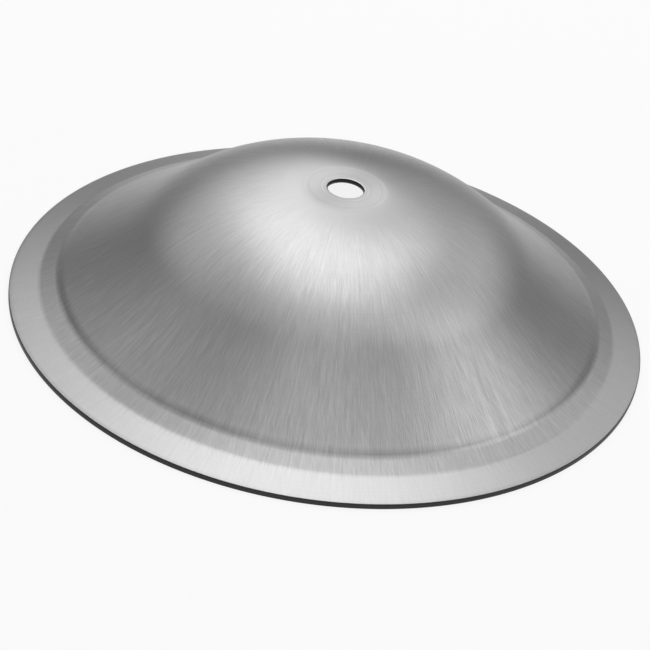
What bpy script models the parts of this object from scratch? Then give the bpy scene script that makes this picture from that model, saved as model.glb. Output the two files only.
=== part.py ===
"""A bell cymbal: one disc of sheet metal, spun into a tall bell with a sloping brim.

The part stands on its rim. Its origin is the middle of the circle that the rim rests on, and +Z is
the axis of the bell. Sizes are metres and angles are degrees.
"""

import math

import bmesh
import bpy
from mathutils import Vector

# The blank
DIAMETER = 0.2286
SHEET = 0.0019

# The crown, pressed flat round the hole
HOLE_DIAMETER = 0.0128
HOLE_CHAMFER = 0.0007
SEAT_RADIUS = 0.0150

# The bell: from the seat it curves over to its steepest ring, then flares out to the crease
SEAT_SLOPE = 3.0
STEEPEST_RADIUS = 0.0690
STEEPEST_SLOPE = 41.3
CREASE_SLOPE = 35.0

# The crease ring, a fine step left by the spinning tool at the foot of the bell
CREASE_RADIUS = 0.0970
CREASE_STEP = 0.00025
CREASE_WIDTH = 0.0005

# The band below the crease, and the brim below the band
BAND_SLOPE = 28.0
BEND_RADIUS = 0.1037
BRIM_SLOPE = 18.0

# The trimmed edge of the brim
EDGE_CHAMFER = 0.00035

# How finely the round stretches are divided
BELL_STEPS = 10
FLARE_STEPS = 4
TURN_STEPS = 80
SHARP_ANGLE = 25.0

ALUMINIUM = (0.56, 0.56, 0.57, 1.0)


def clear_scene():
    """Removes every object of the open scene."""
    for old in list(bpy.data.objects):
        bpy.data.objects.remove(old)


def sine(degrees):
    return math.sin(math.radians(degrees))


def curved_run(start, end_radius, start_slope, end_slope, steps):
    """Points of a circular arc that goes on from start, between two downward slopes.

    Along such an arc the sine of the slope grows evenly with the radius.
    """
    first, last = sine(start_slope), sine(end_slope)
    bend = (last - first) / (end_radius - start.x)
    drop_at_start = math.sqrt(1 - first**2)
    points = []
    for step in range(1, steps + 1):
        radius = start.x + (end_radius - start.x) * step / steps
        slope_sine = first + bend * (radius - start.x)
        drop = (drop_at_start - math.sqrt(1 - slope_sine**2)) / bend
        points.append(Vector((radius, start.y - drop)))
    return points


def straight_run(start, end_radius, slope):
    """The end of a straight stretch that goes on from start, down at one slope."""
    return Vector((end_radius, start.y - (end_radius - start.x) * math.tan(math.radians(slope))))


def upper_line():
    """The upper face from the hole to the rim, as (radius, height)."""
    line = [Vector((HOLE_DIAMETER / 2, 0)), Vector((SEAT_RADIUS, 0))]
    line += curved_run(line[-1], STEEPEST_RADIUS, SEAT_SLOPE, STEEPEST_SLOPE, BELL_STEPS)
    step_start = CREASE_RADIUS - CREASE_WIDTH / 2
    line += curved_run(line[-1], step_start, STEEPEST_SLOPE, CREASE_SLOPE, FLARE_STEPS)
    plain_drop = CREASE_WIDTH * math.tan(math.radians(BAND_SLOPE))
    line.append(line[-1] + Vector((CREASE_WIDTH, -plain_drop - CREASE_STEP)))
    line.append(straight_run(line[-1], BEND_RADIUS, BAND_SLOPE))
    line.append(straight_run(line[-1], DIAMETER / 2, BRIM_SLOPE))
    lift = SHEET / math.cos(math.radians(BRIM_SLOPE)) - line[-1].y
    return [point + Vector((0, lift)) for point in line]


def lower_line(upper):
    """The lower face from the rim to the hole: the upper face set in by the sheet's thickness."""
    runs = [(b - a).normalized() for a, b in zip(upper, upper[1:])]
    down = [Vector((run.y, -run.x)) for run in runs]
    line = []
    for point, before, after in zip(upper[1:-1], down, down[1:]):
        mitre = (before + after).normalized()
        line.append(point + mitre * SHEET / mitre.dot(after))
    line.insert(0, upper[0] - Vector((0, SHEET)))
    line.append(Vector((DIAMETER / 2, 0)))
    line.reverse()
    return line


def chamfered(corner, before, after, width):
    """The two points that cut a corner off at the same width along both of its sides."""
    return [corner + (before - corner).normalized() * width, corner + (after - corner).normalized() * width]


def section():
    """The closed outline that is turned: over the top, down the edge, back underneath and up the hole."""
    upper = upper_line()
    lower = lower_line(upper)
    edge_top = chamfered(upper[-1], upper[-2], lower[0], EDGE_CHAMFER)
    edge_foot = chamfered(lower[0], upper[-1], lower[1], EDGE_CHAMFER)
    hole_foot = chamfered(lower[-1], lower[-2], upper[0], HOLE_CHAMFER)
    hole_top = chamfered(upper[0], lower[-1], upper[1], HOLE_CHAMFER)
    outline = hole_top + upper[1:-1] + edge_top + edge_foot + lower[1:-1] + hole_foot
    foot = min(point.y for point in outline)
    return [point - Vector((0, foot)) for point in outline]


def turned_mesh(name, outline):
    """One closed mesh, made by turning the outline a full turn about Z."""
    shape = bmesh.new()
    ring = [shape.verts.new((point.x, 0, point.y)) for point in outline]
    edges = [shape.edges.new(pair) for pair in zip(ring, ring[1:] + ring[:1])]
    bmesh.ops.spin(
        shape,
        geom=ring + edges,
        axis=(0, 0, 1),
        cent=(0, 0, 0),
        angle=math.tau,
        steps=TURN_STEPS,
        use_merge=True,
    )
    bmesh.ops.remove_doubles(shape, verts=shape.verts, dist=1e-6)
    bmesh.ops.recalc_face_normals(shape, faces=shape.faces)
    mesh = bpy.data.meshes.new(name)
    shape.to_mesh(mesh)
    shape.free()
    mesh.shade_smooth()
    mesh.set_sharp_from_angle(angle=math.radians(SHARP_ANGLE))
    return mesh


def brushed_aluminium():
    """The bare brushed metal of the whole cymbal."""
    material = bpy.data.materials.new("brushed_aluminium")
    material.use_nodes = True
    shader = material.node_tree.nodes["Principled BSDF"]
    shader.inputs["Base Color"].default_value = ALUMINIUM
    shader.inputs["Metallic"].default_value = 1.0
    shader.inputs["Roughness"].default_value = 0.42
    return material


def bell_cymbal():
    """The cymbal itself, the only piece."""
    mesh = turned_mesh("bell_cymbal", section())
    mesh.materials.append(brushed_aluminium())
    cymbal = bpy.data.objects.new("bell_cymbal", mesh)
    bpy.context.scene.collection.objects.link(cymbal)
    return cymbal


clear_scene()
bell_cymbal()
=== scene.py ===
"""The looks of a spun bell cymbal: its sheet, its brushed finish, a pale floor, studio light and the camera.

Everything is in metres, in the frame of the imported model: the rim rests on z = 0 and +Z is the axis.
Slopes and other angles are named in degrees.
"""

from __future__ import annotations

import logging
import math
from dataclasses import dataclass
from enum import Enum

import bpy
from mathutils import Matrix, Vector

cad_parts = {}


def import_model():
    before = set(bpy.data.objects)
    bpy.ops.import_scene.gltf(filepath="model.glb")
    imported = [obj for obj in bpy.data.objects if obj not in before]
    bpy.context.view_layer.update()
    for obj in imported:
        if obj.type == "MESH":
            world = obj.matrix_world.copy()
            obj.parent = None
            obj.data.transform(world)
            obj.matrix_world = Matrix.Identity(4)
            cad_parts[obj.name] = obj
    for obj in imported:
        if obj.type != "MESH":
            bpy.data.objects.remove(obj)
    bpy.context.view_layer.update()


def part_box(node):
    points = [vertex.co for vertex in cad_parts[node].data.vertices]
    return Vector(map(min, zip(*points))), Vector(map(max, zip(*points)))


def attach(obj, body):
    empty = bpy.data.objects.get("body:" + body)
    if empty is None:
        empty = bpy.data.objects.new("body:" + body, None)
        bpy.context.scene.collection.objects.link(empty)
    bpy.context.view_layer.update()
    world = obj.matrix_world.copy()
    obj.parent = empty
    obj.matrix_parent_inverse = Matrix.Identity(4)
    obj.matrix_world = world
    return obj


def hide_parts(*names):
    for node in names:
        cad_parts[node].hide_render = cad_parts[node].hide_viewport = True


log = logging.getLogger("bell_cymbal")

Socket = bpy.types.NodeSocket

PICTURE_WIDTH = 650
MERGE_DISTANCE = 1e-6

# The middle of a noise texture's range
NOISE_MIDDLE = 0.5

# The scratches' noise: its finer layers, and how strong these are
SCRATCH_DETAIL = 2.0
SCRATCH_FINENESS = 0.6

# The turning marks: how many per metre of radius, their seed and the finer layers of their noise
RING_SPACING = 1500.0
RING_SEED = 3.0
RING_DETAIL = 1.0

# How much less than the scratches the turning marks vary the colour, and how scratches change the gloss
RING_TONE_SHARE = 0.6
SCRATCH_ROUGHNESS = -0.12

# Where the radial brushing is full, in seat radii, how strong it is inside and outside, and its blend
BRUSHING_FULL_AT = 2.2
SEAT_BRUSHING = 0.08
BRIM_BRUSHING = 0.3
BRUSHING_BLEND = 0.004

# Where the turning marks of the seat fade, in seat radii, and how strong they are outside
TURNING_FADES_FROM = 0.95
TURNING_FADES_TO = 1.1
OUTER_TURNING = 0.15


class Face(Enum):
    """The finishes of the sheet, in the order of its material slots; the edge one is near-black painted
    shade.
    """

    TOP = 0
    PAINTED_SHADE_EDGE = 1
    UNDERSIDE = 2


def sine(degrees: float) -> float:
    """The sine of an angle in degrees."""
    return math.sin(math.radians(degrees))


def tangent(degrees: float) -> float:
    """The tangent of an angle in degrees."""
    return math.tan(math.radians(degrees))


def curved_run(start: Vector, end_radius: float, slopes: tuple[float, float], steps: int) -> list[Vector]:
    """Points of a circular arc of the section, from one downward slope to another.

    Args:
        start: The point that the arc goes on from, as (radius, height).
        end_radius: The radius at which the arc ends.
        slopes: The downward slopes at its start and end.
        steps: How many points it gets.

    Returns:
        The points after start, as (radius, height).
    """
    first, last = sine(slopes[0]), sine(slopes[1])
    bend = (last - first) / (end_radius - start.x)
    points = []
    for step in range(1, steps + 1):
        radius = start.x + (end_radius - start.x) * step / steps
        slope = first + bend * (radius - start.x)
        drop = (math.sqrt(1 - first**2) - math.sqrt(1 - slope**2)) / bend
        points.append(Vector((radius, start.y - drop)))
    return points


def straight_run(start: Vector, end_radius: float, slope: float, steps: int) -> list[Vector]:
    """Points of a straight stretch of the section.

    Args:
        start: The point that the stretch goes on from, as (radius, height).
        end_radius: The radius at which it ends.
        slope: Its downward slope.
        steps: How many points it gets.

    Returns:
        The points after start, as (radius, height).
    """
    run = Vector((end_radius - start.x, (start.x - end_radius) * tangent(slope)))
    return [start + run * step / steps for step in range(1, steps + 1)]


def rounded(corner: Vector, before: Vector, after: Vector, width: float, steps: int) -> list[Vector]:
    """The points that round a corner off.

    Args:
        corner: The sharp corner, as (radius, height).
        before: A point on the side that leads to it.
        after: A point on the side that leads away.
        width: How far from the corner the rounding starts and ends.
        steps: How many stretches the rounding has.

    Returns:
        steps + 1 points along a smooth bend.
    """
    start = corner + (before - corner).normalized() * width
    end = corner + (after - corner).normalized() * width
    points = []
    for step in range(steps + 1):
        share = step / steps
        points.append(start * (1 - share) ** 2 + corner * 2 * share * (1 - share) + end * share**2)
    return points


@dataclass(frozen=True)
class SpunSheet:
    """The one piece: the turned sheet of the cymbal, with its sizes and how finely each run is divided."""

    diameter: float = 0.2286
    sheet: float = 0.0019
    hole_diameter: float = 0.0128
    hole_rounding: float = 0.0007
    seat_radius: float = 0.0150
    seat_slope: float = 3.0
    steepest_radius: float = 0.0690
    steepest_slope: float = 41.3
    crease_slope: float = 35.0
    crease_radius: float = 0.0970
    crease_step: float = 0.00025
    crease_width: float = 0.0005
    band_slope: float = 28.0
    bend_radius: float = 0.1037
    bend_rounding: float = 0.0008
    brim_slope: float = 18.0
    edge_rounding: float = 0.00035

    seat_steps: int = 8
    bell_steps: int = 40
    flare_steps: int = 14
    band_steps: int = 4
    bend_steps: int = 4
    brim_steps: int = 6
    edge_top_steps: int = 4
    edge_foot_steps: int = 3
    bore_foot_steps: int = 4
    bore_top_steps: int = 5
    turn_steps: int = 480
    sharp_angle: float = 20.0

    # The shares of the two roundings that get the near-black painted shade instead of the brushed finish
    bore_painted_shade_share: float = 0.35
    rim_painted_shade_share: float = 0.5

    def upper_line(self) -> list[Vector]:
        """The upper face.

        Returns:
            Its points from the hole to the rim, with their heights counted from the crown.
        """
        line = [Vector((self.hole_diameter / 2, 0))]
        line += straight_run(line[-1], self.seat_radius, 0.0, self.seat_steps)
        bell_slopes = (self.seat_slope, self.steepest_slope)
        line += curved_run(line[-1], self.steepest_radius, bell_slopes, self.bell_steps)
        crease_start = self.crease_radius - self.crease_width / 2
        flare_slopes = (self.steepest_slope, self.crease_slope)
        line += curved_run(line[-1], crease_start, flare_slopes, self.flare_steps)
        drop = self.crease_width * tangent(self.band_slope) + self.crease_step
        crease_end = line[-1] + Vector((self.crease_width, -drop))
        line.append(crease_end)
        corner = straight_run(crease_end, self.bend_radius, self.band_slope, 1)[0]
        rim = straight_run(corner, self.diameter / 2, self.brim_slope, 1)[0]
        turn = rounded(corner, crease_end, rim, self.bend_rounding, self.bend_steps)
        line += straight_run(crease_end, turn[0].x, self.band_slope, self.band_steps)
        line += turn[1:]
        line += straight_run(turn[-1], rim.x, self.brim_slope, self.brim_steps)
        return line

    def lower_line(self, upper: list[Vector]) -> list[Vector]:
        """The lower face from the rim to the hole.

        Args:
            upper: The points of the upper face, from the hole to the rim.

        Returns:
            The upper face set in by the sheet's thickness, in the other order.
        """
        runs = [(b - a).normalized() for a, b in zip(upper, upper[1:])]
        down = [Vector((run.y, -run.x)) for run in runs]
        line = [upper[0] - Vector((0, self.sheet))]
        for point, before, after in zip(upper[1:-1], down, down[1:]):
            mitre = (before + after).normalized()
            line.append(point + mitre * self.sheet / mitre.dot(after))
        thickness = self.sheet / math.cos(math.radians(self.brim_slope))
        line.append(upper[-1] - Vector((0, thickness)))
        line.reverse()
        return line

    def section(self) -> list[Vector]:
        """The closed outline that is spun.

        Returns:
            Its points over the top, down the edge, back below and up the hole, the lowest at height 0.
        """
        upper = self.upper_line()
        lower = self.lower_line(upper)
        edge_top = rounded(upper[-1], upper[-2], lower[0], self.edge_rounding, self.edge_top_steps)
        edge_foot = rounded(lower[0], upper[-1], lower[1], self.edge_rounding, self.edge_foot_steps)
        bore_foot = rounded(lower[-1], lower[-2], upper[0], self.hole_rounding, self.bore_foot_steps)
        bore_top = rounded(upper[0], lower[-1], upper[1], self.hole_rounding, self.bore_top_steps)
        outline = bore_top + upper[1:-1] + edge_top + edge_foot + lower[1:-1] + bore_foot
        lowest = min(point.y for point in outline)
        return [point - Vector((0, lowest)) for point in outline]

    def build(self) -> bpy.types.Object:
        """Models the sheet: a vertex is extruded along the section, which is closed and spun about Z.

        Returns:
            The finished sheet, with its faces sorted into the slots of Face.
        """
        outline = self.section()
        bpy.ops.object.select_all(action="DESELECT")
        bpy.ops.mesh.primitive_plane_add(size=self.sheet, location=(0, 0, 0))
        sheet = bpy.context.object
        sheet.name = sheet.data.name = "spun_sheet"
        bpy.ops.object.mode_set(mode="EDIT")
        bpy.ops.mesh.select_all(action="SELECT")
        bpy.ops.mesh.merge(type="CENTER")
        bpy.ops.transform.translate(value=(outline[0].x, 0, outline[0].y))
        for here, there in zip(outline, outline[1:]):
            step = (there.x - here.x, 0, there.y - here.y)
            bpy.ops.mesh.extrude_vertices_move(TRANSFORM_OT_translate={"value": step})
        self.close_section(sheet)
        bpy.ops.mesh.select_all(action="SELECT")
        bpy.ops.mesh.spin(steps=self.turn_steps, angle=math.tau, center=(0, 0, 0), axis=(0, 0, 1))
        bpy.ops.mesh.select_all(action="SELECT")
        bpy.ops.mesh.remove_doubles(threshold=MERGE_DISTANCE)
        bpy.ops.mesh.normals_make_consistent(inside=False)
        bpy.ops.object.mode_set(mode="OBJECT")
        bpy.ops.object.shade_smooth_by_angle(angle=math.radians(self.sharp_angle))
        self.sort_faces(sheet)
        return sheet

    @staticmethod
    def close_section(sheet: bpy.types.Object) -> None:
        """Joins the two ends of the extruded section by an edge.

        Args:
            sheet: The object being edited.
        """
        bpy.ops.object.mode_set(mode="OBJECT")
        ends = {0, len(sheet.data.vertices) - 1}
        for vertex in sheet.data.vertices:
            vertex.select = vertex.index in ends
        bpy.ops.object.mode_set(mode="EDIT")
        bpy.ops.mesh.edge_face_add()

    def sort_faces(self, sheet: bpy.types.Object) -> None:
        """Gives each face its slot by where it lies and which way it points.

        Args:
            sheet: The finished mesh.
        """
        bore = self.hole_diameter / 2 + self.hole_rounding * self.bore_painted_shade_share
        rim = self.diameter / 2 - self.edge_rounding * self.rim_painted_shade_share
        for face in sheet.data.polygons:
            radius = math.hypot(face.center.x, face.center.y)
            # The rim and bore edges get the near-black material: painted shade for the dark they reflect
            if radius < bore or radius > rim:
                face.material_index = Face.PAINTED_SHADE_EDGE.value
            elif face.normal.z > 0:
                face.material_index = Face.TOP.value
            else:
                face.material_index = Face.UNDERSIDE.value


class NodeSheet:
    """Short ways to lay out shader nodes in a material or a group."""

    def __init__(self, tree: bpy.types.NodeTree) -> None:
        """Keeps the tree that nodes are added to."""
        self.tree = tree

    def node(self, kind: str, **settings: object) -> bpy.types.Node:
        """Adds a node.

        Args:
            kind: The node's type name.
            settings: Its properties by name.

        Returns:
            The new node.
        """
        made = self.tree.nodes.new(kind)
        for name, value in settings.items():
            setattr(made, name, value)
        return made

    def feed(self, socket: Socket, value: object) -> None:
        """Sets an input to a number or colour, or links another node's output to it.

        Args:
            socket: The input.
            value: The number, the colour or the other node's output.
        """
        if isinstance(value, Socket):
            self.tree.links.new(value, socket)
        else:
            socket.default_value = value

    def reckon(self, operation: str, *values: object) -> Socket:
        """Adds a Math node on one or two values.

        Args:
            operation: The node's operation.
            values: Numbers or outputs of other nodes.

        Returns:
            The result's socket.
        """
        made = self.node("ShaderNodeMath", operation=operation)
        for socket, value in zip(made.inputs, values):
            self.feed(socket, value)
        return made.outputs[0]

    def ramp(self, value: Socket, run: tuple[float, float], result: tuple[float, float]) -> Socket:
        """Adds a smooth step from one value to another.

        Args:
            value: What is mapped.
            run: Where the step starts and ends.
            result: The results up to its start and from its end on.

        Returns:
            The result's socket.
        """
        made = self.node("ShaderNodeMapRange", interpolation_type="SMOOTHSTEP")
        for socket, given in zip(made.inputs, (value, *run, *result)):
            self.feed(socket, given)
        return made.outputs[0]

    def group(self, tree: bpy.types.NodeTree, **values: float) -> bpy.types.Node:
        """Places a node group with its own values.

        Args:
            tree: The group.
            values: Its inputs by name.

        Returns:
            The node that stands for the group.
        """
        placed = self.node("ShaderNodeGroup", node_tree=tree)
        for name, value in values.items():
            placed.inputs[name].default_value = value
        return placed

    def place_in_plan(self) -> tuple[Socket, Socket, Socket]:
        """Adds the nodes that tell where the shaded point lies in plan.

        Returns:
            The sockets of its x, its y and its distance from the axis.
        """
        place = self.node("ShaderNodeTexCoord")
        split = self.node("ShaderNodeSeparateXYZ")
        self.feed(split.inputs[0], place.outputs["Object"])
        x, y = split.outputs[0], split.outputs[1]
        squares = self.reckon("ADD", self.reckon("MULTIPLY", x, x), self.reckon("MULTIPLY", y, y))
        return x, y, self.reckon("SQRT", squares)


def new_group(name: str, inputs: list[str], outputs: list[str]) -> bpy.types.NodeTree:
    """Starts a shader node group.

    Args:
        name: The group's name.
        inputs: The names of its number inputs.
        outputs: The names of its number outputs.

    Returns:
        The group, with its input and output nodes in place.
    """
    group = bpy.data.node_groups.new(name, "ShaderNodeTree")
    for title in inputs:
        group.interface.new_socket(title, in_out="INPUT", socket_type="NodeSocketFloat")
    for title in outputs:
        group.interface.new_socket(title, in_out="OUTPUT", socket_type="NodeSocketFloat")
    group.nodes.new("NodeGroupInput")
    group.nodes.new("NodeGroupOutput")
    return group


def brush_group() -> bpy.types.NodeTree:
    """Fine scratches that run out from the axis, at a slant that the user of the group chooses.

    Returns:
        A group with the inputs Across (scratches per radian), Along (per metre), Slant (radians per
        metre) and Seed, and the output Scratch, from 0 to 1.
    """
    group = new_group("brush", ["Across", "Along", "Slant", "Seed"], ["Scratch"])
    make = NodeSheet(group)
    given = group.nodes["Group Input"]
    x, y, radius = make.place_in_plan()
    slant = make.reckon("MULTIPLY", radius, given.outputs["Slant"])
    turn = make.reckon("ADD", make.reckon("ARCTAN2", y, x), slant)
    joined = make.node("ShaderNodeCombineXYZ")
    for socket, operation in zip(joined.inputs, ("COSINE", "SINE")):
        make.feed(socket, make.reckon("MULTIPLY", make.reckon(operation, turn), given.outputs["Across"]))
    along = make.reckon("MULTIPLY", radius, given.outputs["Along"])
    make.feed(joined.inputs[2], make.reckon("ADD", along, given.outputs["Seed"]))
    noise = make.node("ShaderNodeTexNoise")
    make.feed(noise.inputs["Vector"], joined.outputs[0])
    make.feed(noise.inputs["Scale"], 1.0)
    make.feed(noise.inputs["Detail"], SCRATCH_DETAIL)
    make.feed(noise.inputs["Roughness"], SCRATCH_FINENESS)
    make.feed(group.nodes["Group Output"].inputs["Scratch"], noise.outputs[0])
    return group


def ring_group() -> bpy.types.NodeTree:
    """Turning marks round the axis.

    Returns:
        A group with the inputs Spacing (marks per metre) and Seed, and the outputs Mark, from 0 to 1,
        and Radius, in metres.
    """
    group = new_group("rings", ["Spacing", "Seed"], ["Mark", "Radius"])
    make = NodeSheet(group)
    given = group.nodes["Group Input"]
    radius = make.place_in_plan()[2]
    noise = make.node("ShaderNodeTexNoise", noise_dimensions="1D")
    count = make.reckon("MULTIPLY", radius, given.outputs["Spacing"])
    make.feed(noise.inputs["W"], make.reckon("ADD", count, given.outputs["Seed"]))
    make.feed(noise.inputs["Scale"], 1.0)
    make.feed(noise.inputs["Detail"], RING_DETAIL)
    make.feed(group.nodes["Group Output"].inputs["Mark"], noise.outputs[0])
    make.feed(group.nodes["Group Output"].inputs["Radius"], radius)
    return group


@dataclass(frozen=True)
class ScratchSet:
    """One set of scratches as brush_group takes it, and its share in all of them."""

    across: float
    along: float
    slant: float
    seed: float
    share: float


SCRATCH_SETS = (
    ScratchSet(across=330.0, along=140.0, slant=0.6, seed=0.0, share=1.0),
    ScratchSet(across=260.0, along=190.0, slant=-3.0, seed=7.0, share=0.7),
    ScratchSet(across=110.0, along=30.0, slant=0.0, seed=21.0, share=0.5),
)


@dataclass(frozen=True)
class MetalFinish:
    """One finish of the metal, made into a material."""

    name: str
    color: tuple[float, float, float]
    roughness: float
    anisotropy: float
    brush_depth: float
    ring_depth: float
    contrast: float

    def material(self, groups: dict[str, bpy.types.NodeTree], plan: SpunSheet) -> bpy.types.Material:
        """Builds the material.

        Args:
            groups: The shared node groups by name.
            plan: The sheet, whose radii bound the scratches and the turning marks.

        Returns:
            The material, with scratches, turning marks and a colour that varies with both.
        """
        material = bpy.data.materials.new(self.name)
        material.use_nodes = True
        make = NodeSheet(material.node_tree)
        shader = material.node_tree.nodes["Principled BSDF"]
        rings = make.group(groups["rings"], Spacing=RING_SPACING, Seed=RING_SEED)
        radius = rings.outputs["Radius"]
        scratch = self.scratches(make, groups["brush"])
        lines = make.reckon("MULTIPLY", scratch, self.brushed_share(make, radius, plan))
        marks = make.reckon("SUBTRACT", rings.outputs["Mark"], NOISE_MIDDLE)
        turned = make.reckon("MULTIPLY", marks, self.turned_share(make, radius, plan))
        make.feed(shader.inputs["Base Color"], self.tinted(make, lines, turned))
        rough = make.reckon("ADD", make.reckon("MULTIPLY", lines, SCRATCH_ROUGHNESS), self.roughness)
        make.feed(shader.inputs["Roughness"], rough)
        shader.inputs["Metallic"].default_value = 1.0
        shader.inputs["Anisotropic"].default_value = self.anisotropy
        around = make.node("ShaderNodeTangent", direction_type="RADIAL", axis="Z")
        make.feed(shader.inputs["Tangent"], around.outputs[0])
        make.feed(shader.inputs["Normal"], self.grooved(make, lines, turned))
        return material

    @staticmethod
    def scratches(make: NodeSheet, brush: bpy.types.NodeTree) -> Socket:
        """Adds up the sets of scratches.

        Args:
            make: The material's tree.
            brush: The group that draws one set.

        Returns:
            The socket of their sum, which lies round 0.
        """
        total: object = 0.0
        for marks in SCRATCH_SETS:
            placed = make.group(
                brush, Across=marks.across, Along=marks.along, Slant=marks.slant, Seed=marks.seed
            )
            total = make.reckon("ADD", total, make.reckon("MULTIPLY", placed.outputs[0], marks.share))
        middle = NOISE_MIDDLE * sum(marks.share for marks in SCRATCH_SETS)
        return make.reckon("SUBTRACT", total, middle)

    @staticmethod
    def brushed_share(make: NodeSheet, radius: Socket, plan: SpunSheet) -> Socket:
        """How strongly the radial brushing shows: faint on the seat, full on the bell, little on the brim.

        Args:
            make: The material's tree.
            radius: The distance from the axis.
            plan: The sheet that is brushed.

        Returns:
            The share's socket.
        """
        from_seat = (plan.seat_radius, plan.seat_radius * BRUSHING_FULL_AT)
        inner = make.ramp(radius, from_seat, (SEAT_BRUSHING, 1.0))
        at_bend = (plan.bend_radius - BRUSHING_BLEND, plan.bend_radius + BRUSHING_BLEND)
        outer = make.ramp(radius, at_bend, (1.0, BRIM_BRUSHING))
        return make.reckon("MULTIPLY", inner, outer)

    @staticmethod
    def turned_share(make: NodeSheet, radius: Socket, plan: SpunSheet) -> Socket:
        """How strongly the turning marks show: full on the seat, faint elsewhere.

        Args:
            make: The material's tree.
            radius: The distance from the axis.
            plan: The sheet that is turned.

        Returns:
            The share's socket.
        """
        fade = (plan.seat_radius * TURNING_FADES_FROM, plan.seat_radius * TURNING_FADES_TO)
        return make.ramp(radius, fade, (1.0, OUTER_TURNING))

    def tinted(self, make: NodeSheet, lines: Socket, turned: Socket) -> Socket:
        """Varies the metal's colour with its marks.

        Args:
            make: The material's tree.
            lines: The scratches.
            turned: The turning marks.

        Returns:
            The colour's socket.
        """
        tone = make.reckon("MULTIPLY", lines, self.contrast)
        tone = make.reckon("ADD", tone, make.reckon("MULTIPLY", turned, self.contrast * RING_TONE_SHARE))
        tone = make.reckon("ADD", tone, 1.0)
        scaled = make.node("ShaderNodeVectorMath", operation="SCALE")
        scaled.inputs[0].default_value = self.color
        make.feed(scaled.inputs["Scale"], tone)
        return scaled.outputs[0]

    def grooved(self, make: NodeSheet, lines: Socket, turned: Socket) -> Socket:
        """Turns the marks into fine grooves.

        Args:
            make: The material's tree.
            lines: The scratches.
            turned: The turning marks.

        Returns:
            The normal's socket.
        """
        height = make.reckon("MULTIPLY", lines, self.brush_depth)
        height = make.reckon("ADD", height, make.reckon("MULTIPLY", turned, self.ring_depth))
        bump = make.node("ShaderNodeBump")
        bump.inputs["Strength"].default_value = 1.0
        bump.inputs["Distance"].default_value = 1.0
        make.feed(bump.inputs["Height"], height)
        return bump.outputs[0]


# In the order of Face
FINISHES = (
    MetalFinish(
        name="brushed_aluminium",
        color=(0.46, 0.46, 0.46),
        roughness=0.42,
        anisotropy=0.5,
        brush_depth=0.000032,
        ring_depth=0.000030,
        contrast=0.50,
    ),
    # Painted shade: the rim and bore edges are painted near-black where they mirror dark surroundings
    MetalFinish(
        name="painted_shade_edge",
        color=(0.05, 0.05, 0.05),
        roughness=0.45,
        anisotropy=0.2,
        brush_depth=0.0,
        ring_depth=0.000020,
        contrast=0.2,
    ),
    MetalFinish(
        name="underside_metal",
        color=(0.42, 0.42, 0.42),
        roughness=0.48,
        anisotropy=0.3,
        brush_depth=0.000008,
        ring_depth=0.000020,
        contrast=0.15,
    ),
)


def dress(sheet: bpy.types.Object, plan: SpunSheet) -> None:
    """Gives the sheet its finishes, in the order of Face.

    Args:
        sheet: The finished mesh.
        plan: The sizes that bound the scratches and the turning marks.
    """
    groups = {"brush": brush_group(), "rings": ring_group()}
    for finish in FINISHES:
        sheet.data.materials.append(finish.material(groups, plan))
        log.info("finish %s", finish.name)


@dataclass(frozen=True)
class Lamp:
    """One soft rectangular studio lamp, aimed at the middle of the cymbal."""

    name: str
    place: tuple[float, float, float]
    width: float
    height: float
    power: float

    def build(self, target: Vector) -> None:
        """Makes the lamp.

        Args:
            target: The point that it is aimed at.
        """
        data = bpy.data.lights.new(self.name, "AREA")
        data.shape = "RECTANGLE"
        data.size = self.width
        data.size_y = self.height
        data.energy = self.power
        lamp = bpy.data.objects.new(self.name, data)
        bpy.context.scene.collection.objects.link(lamp)
        lamp.location = self.place
        lamp.rotation_euler = (target - Vector(self.place)).to_track_quat("-Z", "Y").to_euler()


@dataclass(frozen=True)
class Camera:
    """The camera at the photograph's viewing angle, with the pixel at which the origin is seen."""

    elevation: float = 33.11
    roll: float = -8.81
    distance: float = 1.0
    pixels_per_metre: float = 2771.5
    origin_at: tuple[float, float] = (326.4, 313.6)
    sensor: float = 36.0
    nearest: float = 0.05
    farthest: float = 20.0

    def build(self) -> None:
        """Makes the camera and sets it as the scene's."""
        data = bpy.data.cameras.new("camera")
        data.sensor_width = self.sensor
        data.lens = self.pixels_per_metre * self.distance / PICTURE_WIDTH * self.sensor
        middle = PICTURE_WIDTH / 2
        data.shift_x = (middle - self.origin_at[0]) / PICTURE_WIDTH
        data.shift_y = (self.origin_at[1] - middle) / PICTURE_WIDTH
        data.clip_start = self.nearest
        data.clip_end = self.farthest
        camera = bpy.data.objects.new("camera", data)
        bpy.context.scene.collection.objects.link(camera)
        camera.matrix_world = self.pose()
        bpy.context.scene.camera = camera

    def pose(self) -> Matrix:
        """Works out where the camera stands and how it is turned.

        Returns:
            Its world matrix.
        """
        lift = math.radians(self.elevation)
        turn = math.radians(self.roll)
        right = Vector((1, 0, 0))
        back = Vector((0, -math.cos(lift), math.sin(lift)))
        up = back.cross(right)
        across = right * math.cos(turn) - up * math.sin(turn)
        upward = right * math.sin(turn) + up * math.cos(turn)
        pose = Matrix((across, upward, back)).transposed().to_4x4()
        pose.translation = back * self.distance
        return pose


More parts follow.
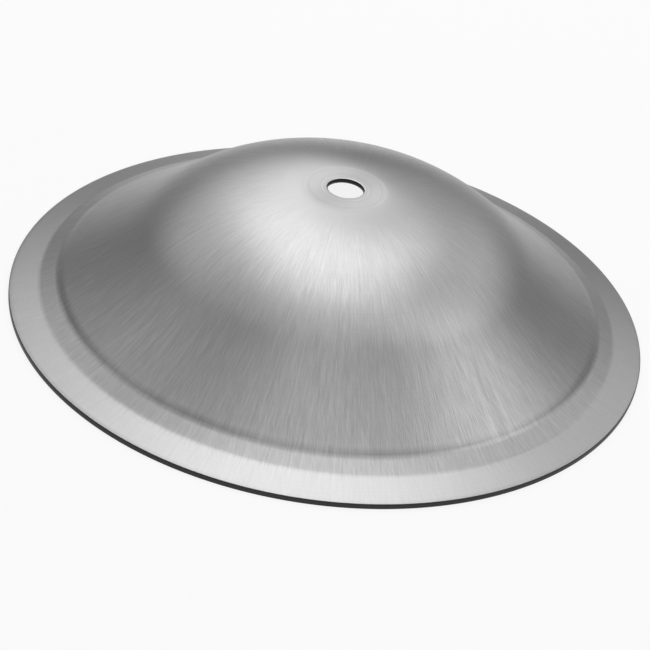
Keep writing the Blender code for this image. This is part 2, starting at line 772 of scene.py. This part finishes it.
@dataclass(frozen=True)
class Studio:
    """The plain pale floor, the soft lamps and the even light of the room."""

    floor_size: float = 8.0
    floor_color: tuple[float, float, float, float] = (0.86, 0.86, 0.86, 1.0)
    # How much of the floor that is seen or mirrored is even white, the rest being lit and shadowed
    own_share: float = 0.85
    room_light: float = 0.10
    lamps: tuple[Lamp, ...] = (
        Lamp("overhead_lamp", (0.0, 0.39, 1.45), 1.1, 1.1, 9.2),
        Lamp("back_left_lamp", (-0.32, 1.12, 0.95), 0.8, 0.7, 3.0),
        Lamp("back_lamp", (0.10, 1.25, 0.80), 0.9, 0.5, 0.9),
        Lamp("far_left_lamp", (-0.89, 0.75, 0.95), 0.7, 0.7, 1.8),
        Lamp("far_right_lamp", (0.81, 0.96, 0.80), 0.6, 0.6, 1.4),
        Lamp("right_lamp", (1.05, 0.05, 1.06), 0.64, 0.64, 3.2),
        Lamp("left_lamp", (-1.05, 0.0, 1.06), 0.64, 0.64, 1.0),
        Lamp("front_lamp", (0.0, -0.63, 1.35), 0.9, 0.9, 2.6),
    )

    def floor(self) -> None:
        """Makes the floor, white to the camera and to what mirrors it, with a soft shadow kept."""
        bpy.ops.object.select_all(action="DESELECT")
        bpy.ops.mesh.primitive_plane_add(size=self.floor_size, location=(0, 0, 0))
        floor = bpy.context.object
        floor.name = floor.data.name = "studio_floor"
        material = bpy.data.materials.new("pale_floor")
        material.use_nodes = True
        make = NodeSheet(material.node_tree)
        material.node_tree.nodes.remove(material.node_tree.nodes["Principled BSDF"])
        plain = make.node("ShaderNodeBsdfDiffuse")
        plain.inputs["Color"].default_value = self.floor_color
        glow = make.node("ShaderNodeEmission")
        glow.inputs["Strength"].default_value = 1.0
        path = make.node("ShaderNodeLightPath")
        seen = make.reckon("MAXIMUM", path.outputs["Is Camera Ray"], path.outputs["Is Glossy Ray"])
        seen = make.reckon("MAXIMUM", seen, path.outputs["Is Transmission Ray"])
        mix = make.node("ShaderNodeMixShader")
        make.feed(mix.inputs[0], make.reckon("MULTIPLY", seen, self.own_share))
        make.feed(mix.inputs[1], plain.outputs[0])
        make.feed(mix.inputs[2], glow.outputs[0])
        make.feed(material.node_tree.nodes["Material Output"].inputs["Surface"], mix.outputs[0])
        floor.data.materials.append(material)

    def room(self) -> None:
        """Lights the room evenly from all round."""
        world = bpy.data.worlds.new("room")
        world.use_nodes = True
        background = world.node_tree.nodes["Background"]
        background.inputs["Color"].default_value = (1, 1, 1, 1)
        background.inputs["Strength"].default_value = self.room_light
        bpy.context.scene.world = world

    def build(self, target: Vector) -> None:
        """Makes the whole studio.

        Args:
            target: The point that the lamps are aimed at.
        """
        self.floor()
        self.room()
        for lamp in self.lamps:
            lamp.build(target)
            log.info("lamp %s", lamp.name)


def main() -> None:
    """Builds the cymbal, the studio and the camera."""
    logging.basicConfig(level=logging.INFO)
    bpy.context.scene.view_settings.view_transform = "Standard"
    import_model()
    plan = SpunSheet()
    sheet = plan.build()
    dress(sheet, plan)
    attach(sheet, "root")
    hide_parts("bell_cymbal")
    log.info("sheet with %d faces", len(sheet.data.polygons))
    low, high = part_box("bell_cymbal")
    Studio().build((low + high) / 2)
    Camera().build()


if __name__ == "__main__":
    main()
